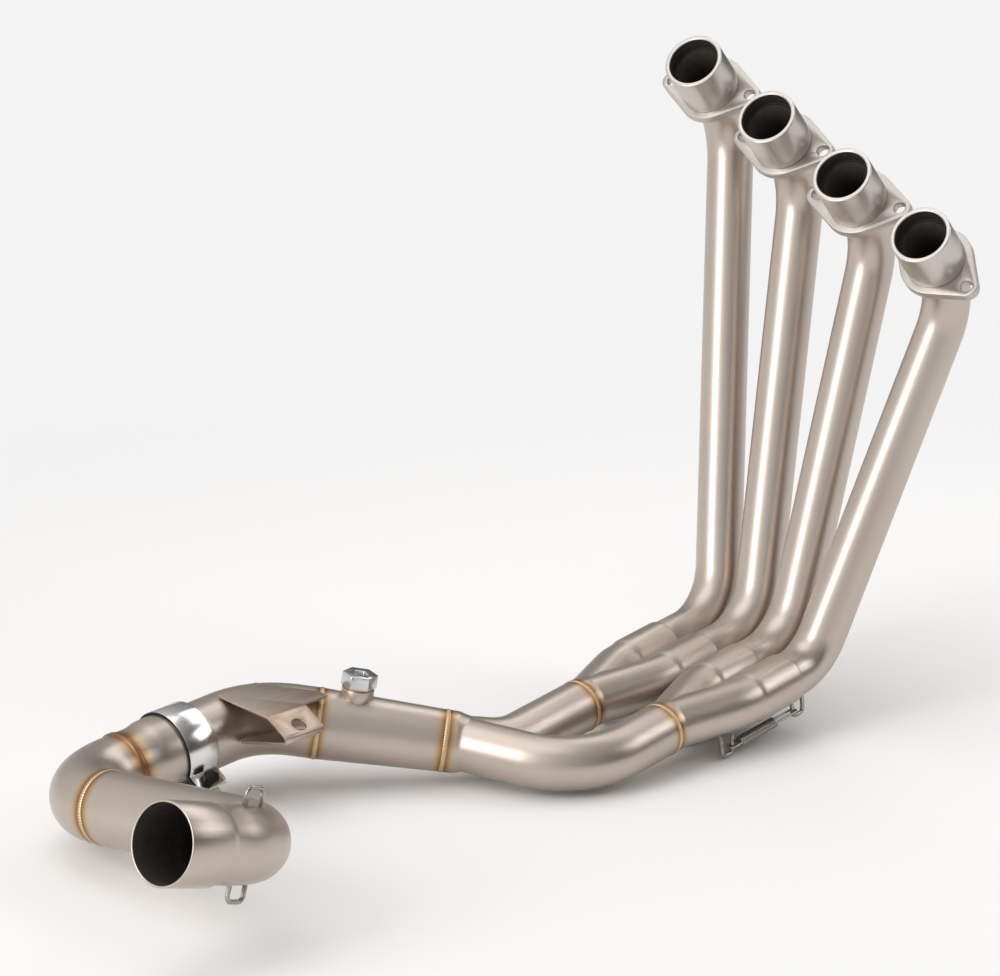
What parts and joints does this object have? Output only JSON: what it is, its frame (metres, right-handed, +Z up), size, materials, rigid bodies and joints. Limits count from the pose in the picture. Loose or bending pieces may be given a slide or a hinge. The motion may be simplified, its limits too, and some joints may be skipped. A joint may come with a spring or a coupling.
{
  "type": "motorcycle exhaust header",
  "caption": "Motorcycle exhaust header in satin steel tube: port spigots with swivel flanges, paired collectors, a merge, a clamped joint and a cranked outlet for the silencer.",
  "frame": {"origin": "On the axis of spigot one, halfway along the spigot.", "axes": "+X from cylinder one to cylinder four along the bike's right hand, +Y to the front of the bike, +Z up as the header stands in the picture; the gas leaves rearward along -Y."},
  "size_m": [0.3395, 0.7895, 0.4813],
  "materials": {
    "spigot": "bright machined, sooty inside",
    "flange": "satin",
    "tube": "satin, straw tint beside the welds",
    "sheet": "satin with copper tint",
    "boss": "satin",
    "zinc": "bright zinc plate",
    "copper": "dull copper",
    "clamp": "polished",
    "dark_bolt": "black oxide",
    "wire": "drawn wire"
  },
  "bodies": {
    "header": {"spigot_1": "spigot", "spigot_2": "spigot", "spigot_3": "spigot", "spigot_4": "spigot", "primary_1": "tube", "primary_2": "tube", "primary_3": "tube", "primary_4": "tube", "collector_left": "tube", "collector_right": "tube", "secondary_merge": "tube", "transition_cone": "tube", "mid_pipe": "tube", "link_sleeve": "tube", "link_bend": "tube", "outlet_elbow": "tube", "hanger_bracket": "sheet", "sensor_bung": "boss", "sensor_plug": "zinc", "sensor_washer": "copper", "clamp_band": "clamp", "clamp_bolt": "dark_bolt", "clamp_nut": "dark_bolt", "outlet_hooks": "wire", "collector_hooks": "wire", "primary_hooks": "wire", "slip_springs": "wire"},
    "flange_1": {"flange_1": "flange"},
    "flange_2": {"flange_2": "flange"},
    "flange_3": {"flange_3": "flange"},
    "flange_4": {"flange_4": "flange"}
  },
  "joints": [
    {"name": "flange_1_swivel", "type": "hinge", "parent": "header", "child": "flange_1", "pos_m": [-0.00351, 0.01677, -0.01428], "axis": [0.1574, -0.7518, 0.6403], "continuous": true},
    {"name": "flange_2_swivel", "type": "hinge", "parent": "header", "child": "flange_2", "pos_m": [0.07443, 0.0063, -0.04573], "axis": [0.1574, -0.7518, 0.6403], "continuous": true},
    {"name": "flange_3_swivel", "type": "hinge", "parent": "header", "child": "flange_3", "pos_m": [0.15238, -0.00417, -0.07719], "axis": [0.1574, -0.7518, 0.6403], "continuous": true},
    {"name": "flange_4_swivel", "type": "hinge", "parent": "header", "child": "flange_4", "pos_m": [0.23032, -0.01464, -0.10864], "axis": [0.1574, -0.7518, 0.6403], "continuous": true}
  ]
}
